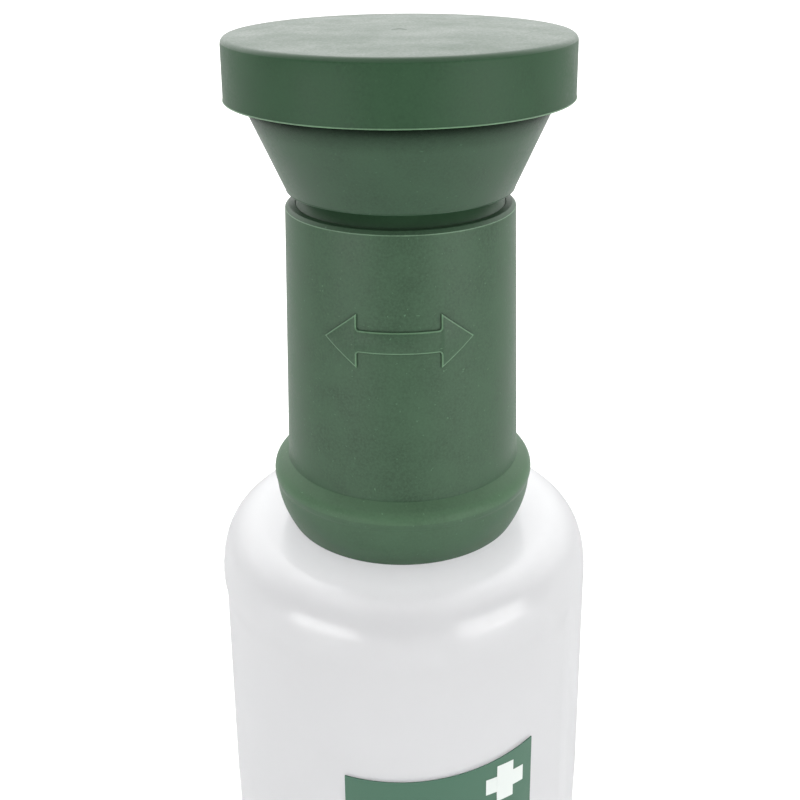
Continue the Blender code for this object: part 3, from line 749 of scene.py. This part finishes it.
def drilled(piece, cutter_mesh):
    """Cuts the cutter mesh out of a piece, once, and removes the cutter."""
    cutter = bpy.data.objects.new("cutter", cutter_mesh)
    bpy.context.scene.collection.objects.link(cutter)
    step = piece.modifiers.new("cut", "BOOLEAN")
    step.operation = "DIFFERENCE"
    step.object = cutter
    step.solver = "EXACT"
    graph = bpy.context.evaluated_depsgraph_get()
    mesh = bpy.data.meshes.new_from_object(piece.evaluated_get(graph))
    piece.modifiers.clear()
    piece.data = mesh
    bpy.data.objects.remove(cutter)
    mesh.set_sharp_from_angle(angle=SHARP_ANGLE)


def make_spray_rose():
    low, high = BOX["spray_rose"]
    foot = high.z - ROSE_THICKNESS
    stem = BOX["feed_tube"][1].x - TUBE_WALL - FIT_GAP
    corners = [
        (0, high.z, 0),
        (high.x, high.z, LIP_ROUND),
        (high.x, foot, 0),
        (stem, foot, LIP_ROUND),
        (stem, low.z, LIP_ROUND),
        (stem - ROSE_WALL, low.z, LIP_ROUND),
        (stem - ROSE_WALL, foot, 0),
        (0, foot, 0),
    ]
    mesh = turned("rose_disc", corners, SMALL_SEGMENTS)
    piece = show("rose_disc", mesh, "head", LOOKS["natural_white"], "spray_rose")
    bm = bmesh.new()
    places = [Vector((0, 0, 0))]
    turns = [2 * pi * k / ROSE_OUTER_HOLES for k in range(ROSE_OUTER_HOLES)]
    places += [Vector((cos(t), sin(t), 0)) * ROSE_HOLE_CIRCLE for t in turns]
    for place in places:
        made = bmesh.ops.create_cone(
            bm, cap_ends=True, segments=ROSE_HOLE_SIDES, radius1=ROSE_HOLE_RADIUS, radius2=ROSE_HOLE_RADIUS,
            depth=ROSE_THICKNESS + 2 * CUT_OVERRUN,
        )
        bmesh.ops.translate(bm, verts=made["verts"], vec=place + Vector((0, 0, foot)))
    drilled(piece, mesh_from("jets", bm))
    return piece


def sleeve_sizes():
    low, high = BOX["turning_sleeve"]
    collar = high.x
    crease = collar - COLLAR_OVERHANG
    return low.z, high.z, collar, crease, crease - SLEEVE_DRAFT, low.z + COLLAR_CREASE


def sleeve_radius(z):
    """Outer radius of the sleeve's drafted wall at height z."""
    _, top, _, crease, _, level = sleeve_sizes()
    return crease - SLEEVE_DRAFT * (z - level) / (top - level)


def make_turning_sleeve():
    foot, top, collar, crease, top_radius, level = sleeve_sizes()
    collar_level = level - COLLAR_CROWN
    foot_radius = collar - COLLAR_TUCK
    wall = SLEEVE_WALL
    crown = bead(collar, collar_level, BEAD_ACROSS, BEAD_RISE, BEAD_START, BEAD_STOP)
    band = bowed(crown[-1], (foot_radius, foot), COLLAR_BOW)
    outer = [
        (top_radius - SLEEVE_RIM_CHAMFER, top, SLEEVE_RIM_ROUND),
        (top_radius, top - SLEEVE_RIM_CHAMFER, RIM_LINE_ROUND),
        (crease, level, COLLAR_FILLET),
    ]
    outer += sharp(crown + band) + [(foot_radius, foot, COLLAR_FOOT_ROUND)]
    inner = [
        (foot_radius - wall, foot, LIP_ROUND),
        (collar - wall, collar_level, NECK_FILLET),
        (crease - wall, level, 0),
        (top_radius - wall, top - SLEEVE_BORE_CHAMFER, 0),
        (top_radius - SLEEVE_RIM_WIDTH, top, 0),
    ]
    mesh = turned("sleeve_shell", inner + outer)
    piece = show("sleeve_shell", mesh, "head", LOOKS["sleeve_green"], "turning_sleeve")
    mesh.materials.append(LOOKS["collar_painted_light"])
    mesh.materials.append(LOOKS["rim_painted_highlight"])
    mesh.materials.append(LOOKS["bead_painted_light"])
    for face in mesh.polygons:
        outward = face.normal.x * face.center.x + face.normal.y * face.center.y
        # Painted light: the bead's outer faces take a paler green
        if collar_level < face.center.z < level and outward > 0:
            face.material_index = 3
        # Painted light: the collar takes a paler green than the sleeve above it
        elif face.center.z < level:
            face.material_index = 1
        # Painted highlight: the rim's outer round takes a paler green
        elif face.center.z > top - 2 * SLEEVE_RIM_CHAMFER and outward > 0:
            face.material_index = 2 if RIM_HIGHLIGHT_LOW_SHARE < face.normal.z < RIM_HIGHLIGHT_HIGH_SHARE else 0
    return piece


def arrow_outline():
    """Corners (across, up, round) of the double-headed arrow, clockwise from its right tip."""
    neck = ARROW_HALF_LENGTH - ARROW_HEAD_LENGTH
    head = ARROW_HEAD_HALF_WIDTH
    shaft = ARROW_SHAFT_HALF_WIDTH
    below = [
        (ARROW_HALF_LENGTH, 0, 0),
        (neck, -head, 0),
        (neck, -shaft, ARROW_FILLET),
        (-neck, -shaft, ARROW_FILLET),
        (-neck, -head, 0),
    ]
    return below + [(-x, -z, size) for x, z, size in below]


def make_arrow():
    """The raised arrow, bent round the sleeve, with a soft edge all round."""
    level = BOX["turning_sleeve"][0].z + ARROW_LEVEL
    bm = bmesh.new()
    face = bm.faces.new([bm.verts.new((x, z, ARROW_RISE)) for x, z in rounded(arrow_outline())])
    bm.normal_update()
    if face.normal.z < 0:
        face.normal_flip()
    edge = bmesh.ops.inset_region(
        bm, faces=[face], thickness=ARROW_EDGE, use_boundary=True, use_even_offset=True,
    )
    # The border faces take the paler green: a painted highlight along the arrow's edge
    for border in edge["faces"]:
        border.material_index = 1
    rim = [v for v in bm.verts if v not in face.verts]
    for vert in rim:
        vert.co.z -= ARROW_EDGE_DROP
    skirt = bmesh.ops.extrude_edge_only(bm, edges=[e for e in bm.edges if e.is_boundary])["geom"]
    for vert in [v for v in skirt if isinstance(v, bmesh.types.BMVert)]:
        vert.co.z = -ARROW_SINK
    in_strips(bm, ARROW_HALF_LENGTH)
    for vert in bm.verts:
        across, up, rise = vert.co
        z = level + up
        radius = sleeve_radius(z)
        vert.co = on_wall(radius + rise, ARROW_TURN + across / sleeve_radius(level), z)
    bmesh.ops.recalc_face_normals(bm, faces=bm.faces)
    mesh = mesh_from("sleeve_arrow", bm)
    piece = show("sleeve_arrow", mesh, "head", LOOKS["sleeve_green"])
    mesh.materials.append(LOOKS["arrow_edge_painted_highlight"])
    return piece


def wall_radius(z):
    """Outer radius of the bottle's wall at height z: straight, then drawn in towards the shoulder."""
    rise = (z - (BODY_HEIGHT - DRAW_LENGTH)) / DRAW_LENGTH
    return BOX["bottle_body"][1].x - DRAW_IN * min(max(rise, 0), 1)


def recess_share(azimuth, z):
    """1 inside the bottle's shallow label recess, 0 outside it, smooth at its border."""
    radius = BOX["bottle_body"][1].x
    middle = (RECESS_LEFT + RECESS_RIGHT) / 2
    half = (RECESS_RIGHT - RECESS_LEFT) / 2
    away = abs((azimuth - middle + pi) % (2 * pi) - pi)
    across = soft_step((half - away) * radius, RECESS_BLEND)
    top = soft_step(BODY_HEIGHT + RECESS_RISE - z, RECESS_BLEND)
    foot = soft_step(z - RECESS_FOOT, RECESS_BLEND)
    return across * top * foot


def make_bottle():
    high = BOX["bottle_body"][1]
    radius = high.x
    neck_top = high.z
    shoulder_top = BODY_HEIGHT + SHOULDER_DEPTH
    shoulder = radius - DRAW_IN
    bead_foot = shoulder_top + BEAD_LEVEL
    bead_radius = NECK_RADIUS + BEAD_DEPTH
    neck_bore = NECK_RADIUS - NECK_WALL

    def body_wall(inset):
        top = shoulder_top - inset
        curve = bend(shoulder - inset, top, SHOULDER_BEND, SHOULDER_DEPTH, SHOULDER_SQUARENESS)
        return sharp(curve) + [(radius - inset, BODY_HEIGHT - DRAW_LENGTH, 0)]

    def foot(inset):
        foot_outer = radius - BASE_ROUND
        foot_inner = foot_outer - FOOT_WIDTH
        return [
            (radius - inset, inset, BASE_ROUND - inset),
            (foot_inner, inset, LIP_ROUND),
            (foot_inner - PUSH_SLOPE, PUSH_UP + inset, NECK_FILLET),
            (0, PUSH_UP + inset, 0),
        ]

    outer = [
        (NECK_RADIUS, neck_top, LIP_ROUND),
        (NECK_RADIUS, bead_foot + BEAD_HEIGHT, 0),
        (bead_radius, bead_foot + BEAD_HEIGHT - BEAD_DEPTH, LIP_ROUND),
        (bead_radius, bead_foot, LIP_ROUND),
        (NECK_RADIUS, bead_foot, 0),
        (NECK_RADIUS, shoulder_top, NECK_FILLET),
    ]
    outer += body_wall(0) + foot(0)
    inner = foot(BOTTLE_WALL)[::-1] + body_wall(BOTTLE_WALL)[::-1]
    inner += [(neck_bore, shoulder_top - BOTTLE_WALL, NECK_FILLET), (neck_bore, neck_top, LIP_ROUND)]
    mesh = turned("bottle_shell", inner + outer)
    for vert in mesh.vertices:
        place = vert.co
        r = hypot(place.x, place.y)
        if r > wall_radius(place.z) - BOTTLE_WALL / 2 and place.z < BODY_HEIGHT + SHOULDER_DEPTH / 2:
            azimuth = azimuth_of(place)
            r -= RECESS_DEPTH * recess_share(azimuth, place.z)
            vert.co = on_wall(r, azimuth, place.z)
    piece = show("bottle_shell", mesh, "bottle", LOOKS["milky_bottle"], "bottle_body")
    mesh.materials.append(LOOKS["milky_inside"])
    heart = Vector((0, 0, BODY_HEIGHT / 2))
    for face in mesh.polygons:
        face.material_index = int(face.normal.dot(face.center - heart) < 0)
    return piece


def make_label():
    """A printed film on the recess: a grid from -1 to 1 both ways, laid on the wall and made solid."""
    middle = (LABEL_LEFT + LABEL_RIGHT) / 2
    top = BODY_HEIGHT - LABEL_DROP
    bm = bmesh.new()
    bmesh.ops.create_grid(bm, x_segments=LABEL_COLUMNS, y_segments=LABEL_ROWS, size=1.0)
    for vert in bm.verts:
        across, up, _ = vert.co
        azimuth = middle + across * (LABEL_RIGHT - LABEL_LEFT) / 2
        edge = top + LABEL_RISE * across / 2 - LABEL_SAG * (1 - across * across)
        z = LABEL_FOOT + (edge - LABEL_FOOT) * (up + 1) / 2
        vert.co = on_wall(wall_radius(z) - RECESS_DEPTH + FIT_GAP, azimuth, z)
    bm.normal_update()
    if bm.faces[:][0].normal.y > 0:
        bmesh.ops.reverse_faces(bm, faces=bm.faces)
    bmesh.ops.solidify(bm, geom=bm.faces[:], thickness=-LABEL_THICKNESS)
    mesh = mesh_from("label_film", bm)
    return show("label_film", mesh, "bottle", LOOKS["label_green"], "label_panel")


def make_plus():
    """A plain white plus sign printed on the label: one outline of twelve corners, bent round the wall."""
    bm = bmesh.new()
    long, short = PLUS_HALF_LENGTH, PLUS_HALF_WIDTH
    corners = [(long, -short), (long, short), (short, short)]
    corners += [(short, long), (-short, long), (-short, short)]
    corners += [(-x, -z) for x, z in corners]
    bm.faces.new([bm.verts.new((x, z, 0)) for x, z in corners])
    in_strips(bm, PLUS_HALF_LENGTH)
    for vert in bm.verts:
        across, up, _ = vert.co
        z = PLUS_LEVEL + up
        radius = wall_radius(z) - RECESS_DEPTH + FIT_GAP + LABEL_THICKNESS
        vert.co = on_wall(radius + PLUS_RISE, PLUS_TURN + across / radius, z)
    bm.normal_update()
    if bm.faces[:][0].normal.y > 0:
        bmesh.ops.reverse_faces(bm, faces=bm.faces)
    bmesh.ops.solidify(bm, geom=bm.faces[:], thickness=-PLUS_RISE)
    mesh = mesh_from("label_plus", bm)
    return show("label_plus", mesh, "bottle", LOOKS["print_white"])


def dress_hidden_nodes():
    """Gives the inner CAD pieces that stay their own procedural materials."""
    looks = {
        "saline_fill": "saline",
        "neck_insert": "natural_white",
        "break_plug": "natural_white",
        "neck_gasket": "gasket_grey",
        "neck_coupling": "coupling_green",
        "feed_tube": "natural_white",
        "tube_ring": "ring_black",
    }
    for name, look in looks.items():
        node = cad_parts[name]
        node.data.materials.clear()
        node.data.materials.append(LOOKS[look])


# Studio


def make_camera():
    camera = bpy.data.cameras.new("camera")
    camera.lens = CAMERA_LENS
    camera.sensor_width = CAMERA_SENSOR
    camera.clip_start = CAMERA_NEAR
    holder = bpy.data.objects.new("camera", camera)
    bpy.context.scene.collection.objects.link(holder)
    holder.location = CAMERA_PLACE
    holder.rotation_euler = (pi / 2 - CAMERA_PITCH, 0, 0)
    holder.rotation_euler.rotate_axis("Z", CAMERA_ROLL)
    bpy.context.scene.camera = holder


def make_floor():
    bm = bmesh.new()
    bmesh.ops.create_grid(bm, x_segments=1, y_segments=1, size=FLOOR_HALF_SIZE)
    mesh = mesh_from("floor", bm)
    floor = bpy.data.objects.new("floor", mesh)
    bpy.context.scene.collection.objects.link(floor)
    material = bpy.data.materials.new("floor_white")
    nodes = Nodes(material)
    shader = nodes.tree.nodes["Principled BSDF"]
    nodes.put(shader, "Base Color", FLOOR_COLOUR)
    nodes.put(shader, "Roughness", FLOOR_ROUGHNESS)
    seen = nodes.add("ShaderNodeLightPath").outputs["Is Camera Ray"]
    nodes.put(shader, "Emission Color", WHITE)
    nodes.put(shader, "Emission Strength", nodes.math("MULTIPLY", seen, FLOOR_GLOW))
    mesh.materials.append(material)


def make_lamps():
    """Softboxes on both sides of the camera, low ones for the glints and dimmer ones above them."""
    for name, (azimuth, elevation, sides, power) in LAMPS.items():
        light = bpy.data.lights.new(name, "AREA")
        light.shape = "RECTANGLE"
        light.size, light.size_y = sides
        light.energy = power
        lamp = bpy.data.objects.new(name, light)
        bpy.context.scene.collection.objects.link(lamp)
        height = LAMP_AIM + LAMP_DISTANCE * sin(elevation)
        lamp.location = on_wall(LAMP_DISTANCE * cos(elevation), azimuth, height)
        lamp.rotation_euler = (pi / 2 - elevation, 0, azimuth)
        lamp.visible_camera = False


def make_world():
    """A pale studio all round: darker on the camera's side, white behind, and white for the camera."""
    world = bpy.data.worlds.new("studio")
    bpy.context.scene.world = world
    nodes = Nodes(world)
    background = nodes.tree.nodes["Background"]
    out = nodes.tree.nodes["World Output"]
    direction = nodes.add("ShaderNodeTexCoord").outputs["Generated"]
    parts = nodes.add("ShaderNodeSeparateXYZ", {"Vector": direction}).outputs
    front = nodes.span(parts["Z"], *WORLD_FRONT_SPAN, WORLD_FRONT, WORLD_FRONT_HIGH, True)
    back = nodes.span(parts["Y"], *WORLD_BACK_SPAN, front, WORLD_BACK, True)
    lift = nodes.span(parts["Z"], *WORLD_LOW_SPAN, WORLD_LOW_SHARE, 1.0, True)
    nodes.put(background, "Color", WHITE)
    nodes.put(background, "Strength", nodes.math("MULTIPLY", back, lift))
    white = nodes.add("ShaderNodeBackground", {"Color": WHITE, "Strength": 1.0})
    ray = nodes.add("ShaderNodeLightPath")
    both = nodes.add("ShaderNodeMixShader", {0: ray.outputs["Is Camera Ray"]})
    nodes.put(both, 1, background.outputs["Background"])
    nodes.put(both, 2, white.outputs["Background"])
    nodes.put(out, "Surface", both.outputs["Shader"])


make_camera()
make_world()
make_floor()
make_lamps()
make_dust_cap()
make_cap_liner()
make_eye_cup()
make_spray_rose()
make_turning_sleeve()
make_arrow()
make_bottle()
make_label()
make_plus()
dress_hidden_nodes()

bpy.context.scene.view_settings.view_transform = "Standard"
